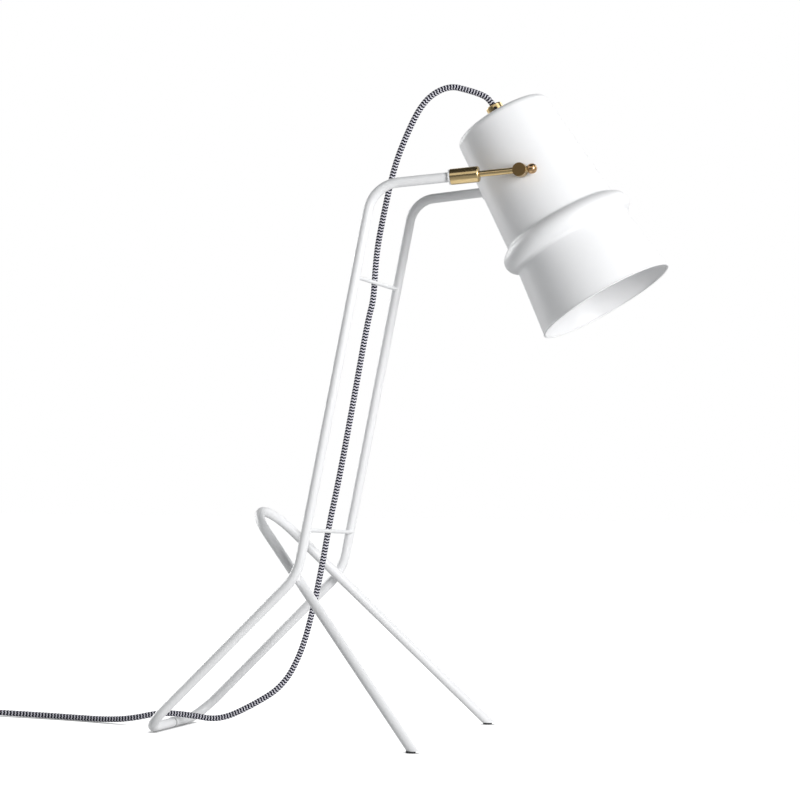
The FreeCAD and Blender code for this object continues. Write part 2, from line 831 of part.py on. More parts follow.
def quarter_arc(start, along, end):
    """The arc from start to end that sets out along the given direction."""
    chord = end - start
    across = chord - along * chord.dot(along)
    radius = chord.Length ** 2 / (2 * across.Length)
    centre = start + unit(across) * radius
    middle = centre + unit((start + end) * 0.5 - centre) * radius
    return Part.Arc(start, middle, end).toShape()


def coil_wire():
    """The coil's centre line: straight ends and two arcs for each half turn."""
    points = coil_points()
    first, first_along = points[0]
    last, last_along = points[-1]
    edges = [Part.LineSegment(first - first_along * cord_diameter, first).toShape()]
    for (start, along), (end, end_along) in zip(points, points[1:]):
        chord = end - start
        joint = (start + end) * 0.5 + along * (chord.Length / 2)
        edges.append(quarter_arc(start, along, joint))
        edges.append(quarter_arc(joint, unit(chord), end))
    edges.append(Part.LineSegment(last, last + last_along * cord_diameter).toShape())
    return Part.Wire(edges)


def coil_self_gap(path):
    """The least gap between the coil and itself, on points along it."""
    spacing = cord_diameter / 3
    points = path.discretize(Number=int(path.Length / spacing))
    skip = int(math.pi * coil_inner_radius / 2 / spacing)
    nearest = min(
        points[i].distanceToPoint(points[j])
        for i in range(len(points)) for j in range(i + skip, len(points))
    )
    return nearest - cord_diameter


def cord_coil():
    """The put-away coil: two spiral layers, one on the other."""
    path = coil_wire()
    shape = tube(path, cord_radius)
    section = math.pi * cord_radius ** 2
    print("  coil length %.1f  least gap %.2f  volume share %.5f" % (
        path.Length, coil_self_gap(path), shape.Volume / (section * path.Length)))
    return shape


def cord_to_coil():
    """From the switch to the coil."""
    start = (switch_centre[0] - switch_length / 2, switch_centre[1], switch_axis_height)
    first, along = coil_points()[0]
    end = first - along * cord_diameter
    return cord([start] + switch_to_coil_route + [tuple(end)])


def plug_end():
    """Where the cord meets the plug's strain relief."""
    x, y, z = coil_to_plug_route[-1]
    return Vector(x + 2 * cord_diameter, y, plug_height / 2)


def cord_to_plug():
    """From the coil to the plug."""
    last, along = coil_points()[-1]
    start = last + along * cord_diameter
    return cord([tuple(start)] + coil_to_plug_route + [tuple(plug_end())])


# Switch
def switch_place(x, y, z):
    """A point from the switch's own middle, on the table."""
    return Vector(switch_centre[0] + x, switch_centre[1] + y, z)


def box_between(low, high):
    """A box from its lowest to its highest corner."""
    size = high - low
    return Part.makeBox(size.x, size.y, size.z, low)


def switch_outside():
    """The whole switch's outside, with rounded upright corners and edges."""
    half_l, half_w = switch_length / 2, switch_width / 2
    body = box_between(switch_place(-half_l, -half_w, 0),
                       switch_place(half_l, half_w, switch_height))
    body = rounded(body, switch_edge * 2, lambda e: abs(e.Length - switch_height) < fit_clearance)
    top = [e for e in body.Edges if e.BoundBox.ZLength < fit_clearance
           and abs(e.BoundBox.ZMin - switch_height) < fit_clearance]
    return body.makeFillet(switch_edge, top)


def switch_room():
    """The hollow in the middle of the switch."""
    half_l = switch_length / 2 - switch_core
    half_w = switch_width / 2 - switch_wall
    return box_between(switch_place(-half_l, -half_w, switch_wall),
                       switch_place(half_l, half_w, switch_height - switch_wall))


def switch_half(low, high):
    """One half of the housing, hollow, with the screws' holes."""
    half_l, half_w = switch_length / 2 + switch_edge, switch_width / 2 + switch_edge
    half = switch_outside().common(box_between(switch_place(-half_l, -half_w, low),
                                               switch_place(half_l, half_w, high)))
    half = half.cut(switch_room())
    for side in (-1, 1):
        x = side * (switch_length / 2 - switch_screw_from_end)
        y = side * (switch_width / 2 - switch_screw_from_end)
        low_end, high_end = switch_place(x, y, 0), switch_place(x, y, switch_height * 0.75)
        half = half.cut(rod(low_end, high_end, switch_screw_diameter))
        head_end = switch_place(x, y, switch_screw_head_height)
        half = half.cut(rod(low_end, head_end, switch_screw_head_diameter))
    return half


def rocker_opening():
    """The hole in the cover that the rocker moves in."""
    half_l, half_w = rocker_length / 2 + rocker_end_gap, rocker_width / 2 + rocker_gap
    top = switch_height + switch_edge
    return box_between(switch_place(-half_l, -half_w, switch_height - 2 * switch_wall),
                       switch_place(half_l, half_w, top))


def switch_base():
    """The lower half of the switch's housing."""
    return switch_half(0, switch_axis_height)


def switch_cover():
    """The upper half, with the rocker's hole and the ears that carry its pin."""
    cover = switch_half(switch_axis_height, switch_height)
    half_w = rocker_width / 2 + rocker_gap
    pin_z = rocker_pin_height()
    for side in (-1, 1):
        inside, outside = side * half_w, side * (half_w + 2 * rocker_pin_reach)
        low = min(inside, outside)
        ear = box_between(
            switch_place(-rocker_pin_diameter, low, pin_z - rocker_pin_diameter),
            switch_place(rocker_pin_diameter, low + 2 * rocker_pin_reach,
                         switch_height - switch_wall))
        cover = cover.fuse(ear)
    cover = cover.cut(rocker_opening())
    pin_hole = rod(switch_place(0, -half_w - rocker_pin_reach - fit_clearance, pin_z),
                   switch_place(0, half_w + rocker_pin_reach + fit_clearance, pin_z),
                   rocker_pin_diameter + 2 * fit_clearance)
    return cover.cut(pin_hole).removeSplitter()


def rocker_pin_height():
    """The height of the rocker's pin."""
    return switch_height - rocker_depth / 2 - rocker_pin_diameter / 2


def switch_rocker():
    """The rocker, pressed down at its end towards the lamp."""
    half_l, half_w = rocker_length / 2, rocker_width / 2
    pin_z = rocker_pin_height()
    crest = switch_height + rocker_crown
    waist = switch_height + rocker_crown / 3
    corners = [switch_place(-half_l, -half_w, crest), switch_place(0, -half_w, waist),
               switch_place(half_l, -half_w, crest),
               switch_place(half_l - rocker_gap, -half_w, switch_height - rocker_depth / 2),
               switch_place(0, -half_w, switch_height - rocker_depth),
               switch_place(-half_l + rocker_gap, -half_w, switch_height - rocker_depth / 2)]
    body = Part.Face(Part.makePolygon(corners + corners[:1])).extrude(Y * rocker_width)
    reach = half_w + rocker_gap + rocker_pin_reach
    pin = rod(switch_place(0, -reach, pin_z), switch_place(0, reach, pin_z),
              rocker_pin_diameter)
    rocker = body.fuse(pin)
    rocker.rotate(switch_place(0, 0, pin_z), Y, rocker_tilt)
    return rocker


def switch_screws():
    """The two screws that hold the switch's halves together."""
    pieces = []
    for side in (-1, 1):
        x = side * (switch_length / 2 - switch_screw_from_end)
        y = side * (switch_width / 2 - switch_screw_from_end)
        low = switch_place(x, y, turning_gap)
        head_end = switch_place(x, y, switch_screw_head_height)
        head = rod(low, head_end, switch_screw_head_diameter - 2 * fit_clearance)
        pieces.append(head.fuse(rod(low, switch_place(x, y, switch_height * 0.7),
                                    switch_screw_diameter)))
    return Part.makeCompound(pieces)


def switch_contacts():
    """The two brass contact strips on the floor of the switch."""
    pieces = []
    for side in (-1, 1):
        x = side * switch_contact_length * 0.75
        low = switch_place(x - switch_contact_length / 2, -switch_contact_width / 2, switch_wall)
        high = switch_place(x + switch_contact_length / 2, switch_contact_width / 2,
                            switch_wall + switch_contact_thickness)
        pieces.append(box_between(low, high))
    return Part.makeCompound(pieces)


# Plug
def plug_body():
    """The flat plug body with its strain relief."""
    start = plug_end()
    back_x, front_x = start.x + relief_length, start.x + relief_length + plug_length
    middle_x = back_x + plug_length / 2
    outline = [
        (back_x, -plug_back_width / 2), (middle_x, -plug_width / 2),
        (front_x, -plug_width / 2), (front_x, plug_width / 2),
        (middle_x, plug_width / 2), (back_x, plug_back_width / 2),
    ]
    corners = [Vector(x, start.y + y, 0) for x, y in outline]
    body = Part.Face(Part.makePolygon(corners + corners[:1])).extrude(Z * plug_height)
    edges = [e for e in body.Edges if e.BoundBox.XMax < front_x - fit_clearance]
    body = body.makeFillet(plug_edge, edges)
    relief = Part.makeCone(relief_tip_diameter / 2, relief_root_diameter / 2,
                           relief_length + plug_edge, start, X)
    body = body.fuse(relief)
    for pin in pin_rods():
        body = body.cut(pin)
    return body.removeSplitter()


def pin_rods():
    """The plug's two round pins, from inside the body to their round tips."""
    start = plug_end()
    front_x = start.x + relief_length + plug_length
    pins = []
    for side in (-1, 1):
        y = start.y + side * pin_spread / 2
        low = Vector(front_x - pin_in_body, y, plug_height / 2)
        high = Vector(front_x + pin_length, y, plug_height / 2)
        pin = rod(low, high, pin_diameter)
        pins.append(rounded(pin, pin_diameter / 3, lambda e: e.CenterOfMass.distanceToPoint(
            high) < fit_clearance))
    return pins


# Frame nodes
near_rod = frame_rod(near_top_bend_radius)
far_rod = mirrored(frame_rod(far_top_bend_radius))
hairpin = hairpin_leg()
near_weld = knee_weld(near_rod, hairpin)
near_pad = foot_pad()
rods = [near_rod, far_rod]
write("frame_rod_near", near_rod)
write("frame_rod_far", far_rod)
write("floor_bar_weld", floor_bar_weld())
write("hairpin_leg", hairpin)
write("knee_weld_near", near_weld)
write("knee_weld_far", mirrored(near_weld))
write("foot_pad_near", near_pad)
write("foot_pad_far", mirrored(near_pad))
write("upper_cross_wire",
      cross_wire(upper_wire_near_height, upper_wire_far_height, 0, rods))
write("lower_cross_wire",
      cross_wire(lower_wire_near_height, lower_wire_far_height, lower_wire_forward, rods))

# Arm ends and pivots, near and far
sided = {
    "arm_collar": arm_collar(),
    "arm_bush": arm_bush(),
    "brass_rod": brass_rod(),
    "rod_ball": rod_ball(),
    "pivot_barrel": in_shade_place(pivot_barrel(), False),
    "pivot_spring_washer": in_shade_place(pivot_spring_washer(), False),
    "pivot_nut": in_shade_place(pivot_nut(), False),
    "outer_saddle": in_shade_place(outer_saddle()),
    "inner_saddle": in_shade_place(inner_saddle()),
}
for name, shape in sided.items():
    write(name + "_near", shape)
    write(name + "_far", mirrored(shape))

# Head nodes
head = {
    "shade": shade(),
    "cord_grip": cord_grip(),
    "grip_screw": grip_screw(),
    "threaded_nipple": threaded_nipple(),
    "nipple_washer": nipple_washer(),
    "nipple_nut": nipple_nut(),
    "cord_inside": cord_inside(),
    "lampholder_cap": lampholder_cap(),
    "lampholder_shell": lampholder_shell(),
    "lampholder_core": lampholder_core(),
    "lampholder_terminals": lampholder_terminals(),
    "lampholder_sleeve": lampholder_sleeve(),
    "lampholder_contact": lampholder_contact(),
    "bulb_contact": bulb_contact(),
    "bulb_cap": bulb_cap(),
    "bulb_housing": bulb_housing(),
    "bulb_globe": bulb_globe(),
}
for name, shape in head.items():
    write(name, in_shade_place(shape))

# Cord, switch and plug nodes
write("cord_upper", cord_upper())
write("cord_lower", cord_lower())
write("cord_to_coil", cord_to_coil())
write("cord_coil", cord_coil())
write("cord_to_plug", cord_to_plug())
write("switch_base", switch_base())
write("switch_cover", switch_cover())
write("switch_rocker", switch_rocker())
write("switch_screws", switch_screws())
write("switch_contacts", switch_contacts())
write("plug_body", plug_body())
write("plug_pins", Part.makeCompound(pin_rods()))
print("pivot", tuple(pivot), "grip exit", tuple(grip_exit))
print("hairpin half angle %.2f" % math.degrees(half_angle))
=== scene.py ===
"""Looks of the table lamp: painted rods and shade, satin brass, braided cord, studio light.

All lengths are in metres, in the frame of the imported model.
"""
import math

import bpy
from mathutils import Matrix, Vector

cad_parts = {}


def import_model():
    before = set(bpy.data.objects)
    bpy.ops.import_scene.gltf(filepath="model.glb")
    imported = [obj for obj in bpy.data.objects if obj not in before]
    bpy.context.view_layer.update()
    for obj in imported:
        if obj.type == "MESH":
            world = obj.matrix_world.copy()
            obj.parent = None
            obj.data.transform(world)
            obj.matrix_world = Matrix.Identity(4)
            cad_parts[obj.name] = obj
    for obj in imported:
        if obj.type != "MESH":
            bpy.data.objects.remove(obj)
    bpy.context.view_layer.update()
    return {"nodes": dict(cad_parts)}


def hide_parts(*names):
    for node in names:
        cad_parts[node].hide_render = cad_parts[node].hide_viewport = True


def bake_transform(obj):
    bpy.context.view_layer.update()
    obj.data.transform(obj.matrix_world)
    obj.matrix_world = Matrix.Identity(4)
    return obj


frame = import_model()
nodes = frame["nodes"]

# The cord and its braid
CORD_DIAMETER = 0.0064
BRAID_PERIOD = 0.0031
TABLE_PERIOD = 0.0041                    # where the braid is drawn out, on the table
DRAWN_FROM, DRAWN_TO = -0.270, -0.330    # the stretch in x over which that comes about
BRAID_PEAKS = 5                          # zigzags round the cord
BRAID_SWING = 0.32                       # how far each zigzag runs along the cord, in periods
BRAID_RELIEF = 0.00011
RINGS_PER_PERIOD = 6
SIDES = 30
YARN_RATE = 38.0                         # how close the single yarns lie
YARN_HEIGHT = 0.3                        # their height beside the fuzz
RAGGEDNESS = 0.22                        # how far the fuzz moves the edge of a stripe
BRAID_TONES = [
    (0.56, (0.008, 0.008, 0.022)), (0.63, (0.10, 0.10, 0.13)), (0.69, (0.77, 0.76, 0.82)),
    (0.88, (0.88, 0.87, 0.94)),
]

# Colours of the brass, each as its dark and its light tone
SATIN_BRASS = (0.56, 0.41, 0.20), (0.70, 0.54, 0.29)
ROD_BRASS = (0.52, 0.38, 0.18), (0.64, 0.49, 0.27)
BALL_BRASS = (0.45, 0.28, 0.14), (0.56, 0.37, 0.20)
INNER_BRASS = (0.55, 0.42, 0.20), (0.70, 0.56, 0.30)
BARREL_BRASS = (0.40, 0.28, 0.13), (0.56, 0.42, 0.22)
BARREL_FACE_COLOUR = (0.27, 0.175, 0.075, 1)
BARREL_FACE_Y = 0.06784                  # the barrels' flat outer faces lie beyond this


# Node helpers
def new_material(name):
    """An empty node material with its shader, as (material, nodes, links, shader)."""
    material = bpy.data.materials.new(name)
    material.use_nodes = True
    tree = material.node_tree
    shader = tree.nodes["Principled BSDF"]
    return material, tree.nodes, tree.links, shader


def math_node(tree, links, operation, *values):
    """A math node fed by sockets or numbers."""
    node = tree.new("ShaderNodeMath")
    node.operation = operation
    for socket, value in zip(node.inputs, values):
        if isinstance(value, (int, float)):
            socket.default_value = value
        else:
            links.new(value, socket)
    return node.outputs[0]


def noise(tree, links, scale, detail, stretch=None):
    """Noise in the object's own place, stretched along an axis if asked."""
    place = tree.new("ShaderNodeTexCoord").outputs["Object"]
    if stretch:
        mapping = tree.new("ShaderNodeMapping")
        mapping.inputs["Scale"].default_value = stretch
        links.new(place, mapping.inputs["Vector"])
        place = mapping.outputs["Vector"]
    texture = tree.new("ShaderNodeTexNoise")
    texture.inputs["Scale"].default_value = scale
    texture.inputs["Detail"].default_value = detail
    links.new(place, texture.inputs["Vector"])
    return texture.outputs["Fac"]


def ramp(tree, links, factor, stops):
    """A colour ramp from (place, colour) stops."""
    node = tree.new("ShaderNodeValToRGB")
    elements = node.color_ramp.elements
    while len(elements) < len(stops):
        elements.new(0.5)
    for element, (place, colour) in zip(elements, stops):
        element.position = place
        element.color = (*colour, 1.0)
    links.new(factor, node.inputs["Fac"])
    return node.outputs["Color"]


def mottle(tree, links, factor, first, second, start=0.3, end=0.7):
    """One colour drifting into another as a noise goes from start to end."""
    return ramp(tree, links, factor, [(start, first), (end, second)])


def bump(tree, links, height, distance, strength, shader):
    """A bump on the shader from a height."""
    node = tree.new("ShaderNodeBump")
    node.inputs["Distance"].default_value = distance
    node.inputs["Strength"].default_value = strength
    links.new(height, node.inputs["Height"])
    links.new(node.outputs["Normal"], shader.inputs["Normal"])


def spread(tree, links, factor, low, high):
    """A factor from 0 to 1 mapped between two numbers."""
    node = tree.new("ShaderNodeMapRange")
    node.inputs["To Min"].default_value = low
    node.inputs["To Max"].default_value = high
    links.new(factor, node.inputs["Value"])
    return node.outputs["Result"]


# Materials
def powder_coat(name, thin, full):
    """Satin white paint with the faint orange peel of powder coat."""
    material, tree, links, shader = new_material(name)
    tone = noise(tree, links, scale=9.0, detail=3.0)
    links.new(mottle(tree, links, tone, thin, full), shader.inputs["Base Color"])
    peel = noise(tree, links, scale=900.0, detail=2.0)
    links.new(spread(tree, links, peel, low=0.36, high=0.44), shader.inputs["Roughness"])
    bump(tree, links, peel, distance=0.00002, strength=0.12, shader=shader)
    return material


def brass(name, tones, rough, grain=(1.0, 1.0, 1.0)):
    """Satin brass with fine turning marks, a little darker where it has tarnished."""
    material, tree, links, shader = new_material(name)
    shader.inputs["Metallic"].default_value = 1.0
    tarnish = noise(tree, links, scale=420.0, detail=4.0, stretch=grain)
    links.new(mottle(tree, links, tarnish, *tones), shader.inputs["Base Color"])
    marks = noise(tree, links, scale=1500.0, detail=3.0, stretch=grain)
    links.new(spread(tree, links, marks, low=rough - 0.04, high=rough + 0.06),
              shader.inputs["Roughness"])
    bump(tree, links, marks, distance=0.00001, strength=0.2, shader=shader)
    return material


def plain_metal(name, colour, rough):
    """Zinc, nickel or blackened steel with a fine grain."""
    material, tree, links, shader = new_material(name)
    shader.inputs["Metallic"].default_value = 1.0
    grain = noise(tree, links, scale=1200.0, detail=4.0)
    darker = tuple(0.85 * channel for channel in colour)
    links.new(mottle(tree, links, grain, darker, colour), shader.inputs["Base Color"])
    links.new(spread(tree, links, grain, low=rough - 0.05, high=rough + 0.08),
              shader.inputs["Roughness"])
    return material


def moulded(name, colour, rough, texture_scale):
    """Moulded plastic, rubber or glaze with a fine surface."""
    material, tree, links, shader = new_material(name)
    grain = noise(tree, links, scale=texture_scale, detail=3.0)
    lighter = tuple(min(1.0, 1.12 * channel) for channel in colour)
    links.new(mottle(tree, links, grain, colour, lighter, start=0.35, end=0.65),
              shader.inputs["Base Color"])
    links.new(spread(tree, links, grain, low=rough - 0.05, high=rough + 0.07),
              shader.inputs["Roughness"])
    bump(tree, links, grain, distance=0.00005, strength=0.3, shader=shader)
    return material


def opal_glass():
    """The globe's white glass."""
    material, tree, links, shader = new_material("opal_glass")
    haze = noise(tree, links, scale=40.0, detail=2.0)
    links.new(mottle(tree, links, haze, (0.90, 0.89, 0.86), (0.94, 0.93, 0.91)),
              shader.inputs["Base Color"])
    shader.inputs["Roughness"].default_value = 0.18
    shader.inputs["Subsurface Weight"].default_value = 0.2
    shader.inputs["Subsurface Scale"].default_value = 0.004
    return material


def chevron(tree, links):
    """The braid's stripes, 0 to 1 through each dark and light one, and the zigzag round it."""
    along = tree.new("ShaderNodeAttribute")
    along.attribute_name = "along"
    around = tree.new("ShaderNodeAttribute")
    around.attribute_name = "around"
    split = tree.new("ShaderNodeSeparateXYZ")
    links.new(around.outputs["Vector"], split.inputs["Vector"])
    angle = math_node(tree, links, "ARCTAN2", split.outputs["Y"], split.outputs["X"])
    peaks = math_node(tree, links, "MULTIPLY", angle, BRAID_PEAKS / (2 * math.pi))
    whole_peaks_more = 64.0              # keeps the count above zero, and changes nothing else
    above_zero = math_node(tree, links, "ADD", peaks, whole_peaks_more)
    zigzag = math_node(tree, links, "PINGPONG", above_zero, 0.5)
    swing = math_node(tree, links, "MULTIPLY", zigzag, 2 * BRAID_SWING)
    phase = math_node(tree, links, "ADD", along.outputs["Fac"], swing)
    wave = math_node(tree, links, "SINE", math_node(tree, links, "MULTIPLY", phase, 2 * math.pi))
    return math_node(tree, links, "MULTIPLY_ADD", wave, 0.5, 0.5), zigzag


def braid():
    """Two-colour textile braid: navy-black and off-white chevrons with single yarns."""
    material, tree, links, shader = new_material("braided_cord")
    stripes, zigzag = chevron(tree, links)
    yarns = math_node(tree, links, "SINE", math_node(tree, links, "MULTIPLY", zigzag, YARN_RATE))
    fuzz = noise(tree, links, scale=2600.0, detail=2.0)
    either_way = math_node(tree, links, "SUBTRACT", fuzz, 0.5)
    ragged = math_node(tree, links, "ADD", stripes,
                       math_node(tree, links, "MULTIPLY", either_way, RAGGEDNESS))
    links.new(ramp(tree, links, ragged, BRAID_TONES), shader.inputs["Base Color"])
    shader.inputs["Roughness"].default_value = 0.85
    shader.inputs["Specular IOR Level"].default_value = 0.25
    height = math_node(tree, links, "ADD",
                       math_node(tree, links, "MULTIPLY", yarns, YARN_HEIGHT), fuzz)
    bump(tree, links, height, distance=0.0001, strength=0.5, shader=shader)
    return material


def barrel_brass():
    """Brass with a darker colour on its flat outer face."""
    material, tree, links, shader = new_material("barrel_brass")
    shader.inputs["Metallic"].default_value = 1.0
    place = tree.new("ShaderNodeTexCoord").outputs["Object"]
    split = tree.new("ShaderNodeSeparateXYZ")
    links.new(place, split.inputs["Vector"])
    side = math_node(tree, links, "ABSOLUTE", split.outputs["Y"])
    face = math_node(tree, links, "GREATER_THAN", side, BARREL_FACE_Y)
    tarnish = noise(tree, links, scale=160.0, detail=5.0)
    mix = tree.new("ShaderNodeMix")
    mix.data_type = "RGBA"
    links.new(face, mix.inputs["Factor"])
    links.new(mottle(tree, links, tarnish, *BARREL_BRASS), mix.inputs["A"])
    mix.inputs["B"].default_value = BARREL_FACE_COLOUR
    links.new(mix.outputs["Result"], shader.inputs["Base Color"])
    links.new(spread(tree, links, tarnish, low=0.24, high=0.36), shader.inputs["Roughness"])
    return material


paint = powder_coat("white_paint", thin=(0.905, 0.905, 0.915), full=(0.93, 0.93, 0.94))
# Grey on the weld ring is painted shade for the dark line in the seam; the weld itself is white
# paint.
painted_seam_shade = powder_coat("painted_seam_shade", thin=(0.38, 0.38, 0.39), full=(0.46, 0.46, 0.47))
bush_brass = brass("bush_brass", SATIN_BRASS, rough=0.19, grain=(0.15, 2.0, 2.0))
thin_brass = brass("rod_brass", ROD_BRASS, rough=0.22, grain=(0.2, 3.0, 3.0))
ball_brass = brass("ball_brass", BALL_BRASS, rough=0.16)
inner_brass = brass("inner_brass", INNER_BRASS, rough=0.30)
zinc = plain_metal("zinc_steel", (0.62, 0.62, 0.63), rough=0.32)
nickel = plain_metal("nickel", (0.78, 0.75, 0.70), rough=0.22)
dark_steel = plain_metal("dark_steel", (0.06, 0.055, 0.05), rough=0.45)
rubber = moulded("black_rubber", (0.022, 0.022, 0.023), rough=0.75, texture_scale=1500.0)
black_plastic = moulded("black_plastic", (0.020, 0.020, 0.021), rough=0.62,
                        texture_scale=1800.0)
white_plastic = moulded("white_plastic", (0.78, 0.78, 0.77), rough=0.42, texture_scale=1500.0)
porcelain = moulded("porcelain", (0.80, 0.79, 0.76), rough=0.15, texture_scale=300.0)
opal = opal_glass()
cord_braid = braid()
barrel = barrel_brass()

FINISHES = {
    "frame_rod": paint, "hairpin_leg": paint, "floor_bar_weld": painted_seam_shade, "knee_weld": paint,
    "upper_cross_wire": paint, "lower_cross_wire": paint, "arm_collar": paint, "shade": paint,
    "foot_pad": rubber, "arm_bush": bush_brass, "brass_rod": thin_brass,
    "rod_ball": ball_brass, "pivot_barrel": barrel, "pivot_spring_washer": zinc,
    "pivot_nut": zinc, "outer_saddle": zinc, "inner_saddle": zinc, "cord_grip": bush_brass,
    "grip_screw": dark_steel, "threaded_nipple": inner_brass, "nipple_washer": zinc,
    "nipple_nut": zinc, "cord_inside": cord_braid, "lampholder_cap": white_plastic,
    "lampholder_shell": white_plastic, "lampholder_core": porcelain,
    "lampholder_terminals": inner_brass, "lampholder_sleeve": inner_brass,
    "lampholder_contact": inner_brass, "bulb_contact": zinc, "bulb_cap": nickel,
    "bulb_housing": white_plastic, "bulb_globe": opal, "switch_base": black_plastic,
    "switch_cover": black_plastic, "switch_rocker": black_plastic, "switch_screws": zinc,
    "switch_contacts": inner_brass, "plug_body": black_plastic, "plug_pins": nickel,
}


def finish_of(name):
    """The finish of a node, by its name with or without its side."""
    for side in ("_near", "_far"):
        if name.endswith(side):
            name = name[:-len(side)]
    return FINISHES.get(name, cord_braid)


for name, node in nodes.items():
    if not node.material_slots:
        node.data.materials.append(None)
    for slot in node.material_slots:
        slot.link = "OBJECT"
        slot.material = finish_of(name)


# The cord's route, from the grip to the coil, and from the coil to the plug
FREE_ROUTE = [
    (0.0841, 0, 0.6422), (0.0796, 0, 0.6496), (0.0700, 0.0005, 0.6550), (0.0560, 0.001, 0.6597),
    (0.0385, 0.0015, 0.6645), (0.0190, 0.002, 0.6572), (0.0046, 0.003, 0.6422),
    (-0.0085, 0.004, 0.6165), (-0.0223, 0.007, 0.5850), (-0.0342, 0.012, 0.5400),
    (-0.0430, 0.017, 0.5030), (-0.0460, 0.019, 0.4760), (-0.0475, 0.019, 0.4470),
    (-0.0533, 0.019, 0.4266), (-0.0675, 0.0185, 0.3460), (-0.0828, 0.018, 0.2620),
    (-0.0925, 0.0172, 0.2170), (-0.0995, 0.016, 0.1740), (-0.1090, 0.014, 0.1250),
    (-0.1200, 0.012, 0.0820), (-0.1390, 0.010, 0.0460), (-0.1710, 0.006, 0.0255),
    (-0.2070, 0.003, 0.0085), (-0.2400, 0.0015, 0.0135), (-0.2720, 0.001, 0.0148),
    (-0.3060, 0.003, 0.0070), (-0.3400, 0.016, 0.0036), (-0.3830, 0.029, 0.0034),
    (-0.4250, 0.038, 0.0036), (-0.4660, 0.0445, 0.0037), (-0.4960, 0.044, 0.0045),
    (-0.5130, 0.044, 0.0095), (-0.5270, 0.044, 0.0095), (-0.5570, 0.044, 0.0095),
    (-0.5870, 0.044, 0.0095), (-0.6030, 0.044, 0.0095), (-0.6260, 0.044, 0.0033),
]
TO_PLUG = [(-0.6310, 0.1284, 0.0103), (-0.6180, 0.1284, 0.00685), (-0.6052, 0.1284, 0.00685)]

# The coil of put-away cord, and the spline through the whole route
COIL_X = -0.652
COIL_Y = 0.0862
COIL_LOW = 0.0033
COIL_RISE = 0.007
COIL_RADII = [0.0422, 0.0381, 0.0340, 0.0340, 0.0381, 0.0422]    # one at each half turn
POINTS_A_HALF_TURN = 8
STEPS_A_POINT = 24
SPLINE_ORDER = 3


def coil_route():
    """The coil's points: two spiral layers, the second on top of the first."""
    points = []
    half_turns = len(COIL_RADII) - 1
    climb = half_turns // 2
    steps = half_turns * POINTS_A_HALF_TURN
    outward = 1 / math.cos(math.pi / POINTS_A_HALF_TURN / 2)
    for step in range(steps + 1):
        turn = step / POINTS_A_HALF_TURN
        low = min(int(turn), half_turns - 1)
        share = turn - low
        radius = COIL_RADII[low] * (1 - share) + COIL_RADII[low + 1] * share
        if 0 < step < steps:
            radius *= outward ** 0.5
        rise = COIL_RISE * min(1.0, max(0.0, turn - climb))
        angle = -math.pi / 2 - turn * math.pi
        points.append((COIL_X + radius * math.cos(angle), COIL_Y + radius * math.sin(angle),
                       COIL_LOW + rise))
    return points


def smooth_path(name, points):
    """The points of a smooth spline that follows the route."""
    curve = bpy.data.curves.new(name, "CURVE")
    curve.dimensions = "3D"
    curve.resolution_u = STEPS_A_POINT
    spline = curve.splines.new("NURBS")
    spline.points.add(len(points) - 1)
    for point, place in zip(spline.points, points):
        point.co = (*place, 1.0)
    spline.order_u = SPLINE_ORDER
    spline.use_endpoint_u = True
    holder = bpy.data.objects.new(name, curve)
    line = bpy.data.meshes.new_from_object(holder)
    path = [vertex.co.copy() for vertex in line.vertices]
    bpy.data.objects.remove(holder)
    bpy.data.curves.remove(curve)
    bpy.data.meshes.remove(line)
    return path


def even_steps(path, spacing):
    """The path again, in equal steps, with the distance along it at each."""
    lengths = [0.0]
    for first, second in zip(path, path[1:]):
        lengths.append(lengths[-1] + (second - first).length)
    count = max(2, round(lengths[-1] / spacing))
    points = []
    index = 0
    for step in range(count + 1):
        want = lengths[-1] * step / count
        while index < len(path) - 2 and lengths[index + 1] < want:
            index += 1
        span = lengths[index + 1] - lengths[index]
        share = (want - lengths[index]) / span if span else 0.0
        points.append((path[index].lerp(path[index + 1], share), want))
    return points


def braid_period(place):
    """The braid's period at a place on the cord."""
    share = min(1.0, max(0.0, (place.x - DRAWN_FROM) / (DRAWN_TO - DRAWN_FROM)))
    return BRAID_PERIOD * (1 - share) + TABLE_PERIOD * share


